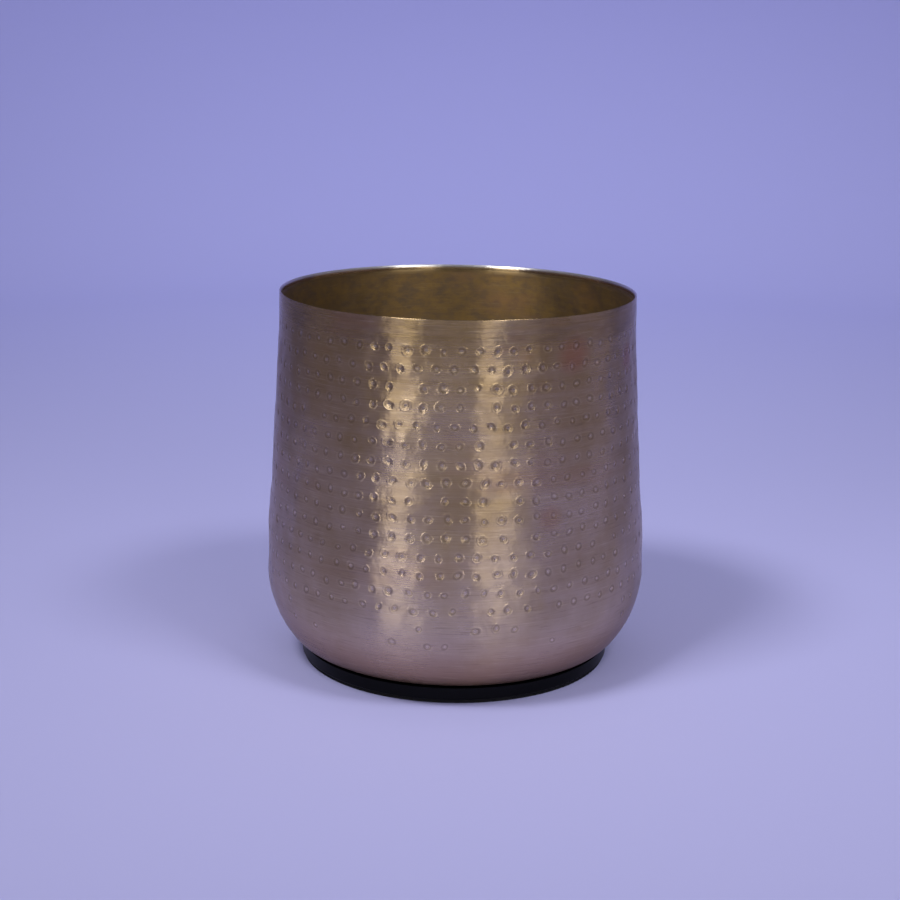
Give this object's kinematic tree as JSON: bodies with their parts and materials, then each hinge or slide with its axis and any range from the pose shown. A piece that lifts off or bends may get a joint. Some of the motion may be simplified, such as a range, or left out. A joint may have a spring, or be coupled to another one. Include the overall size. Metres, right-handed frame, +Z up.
{
  "type": "cachepot",
  "caption": "Round hammered-brass cachepot with a tapered wall, rounded heel and flat base, raised on a low black foot ring with a rubber tread; hides a nursery pot.",
  "frame": {"origin": "centre of the rubber tread, on the surface that the pot stands on", "axes": "+Z up along the pot's axis, -Y towards the front of the picture"},
  "size_m": [0.21, 0.21, 0.2052],
  "materials": {
    "antique_brass": "spun and hammered, satin, with a brown patina",
    "blackened_steel": "matt black",
    "braze": "dull, as brazed",
    "tread_rubber": "matt"
  },
  "bodies": {
    "root": {"pot_shell": "antique_brass", "foot_ring": "blackened_steel", "braze_seam": "braze", "foot_tread": "tread_rubber"}
  },
  "joints": []
}
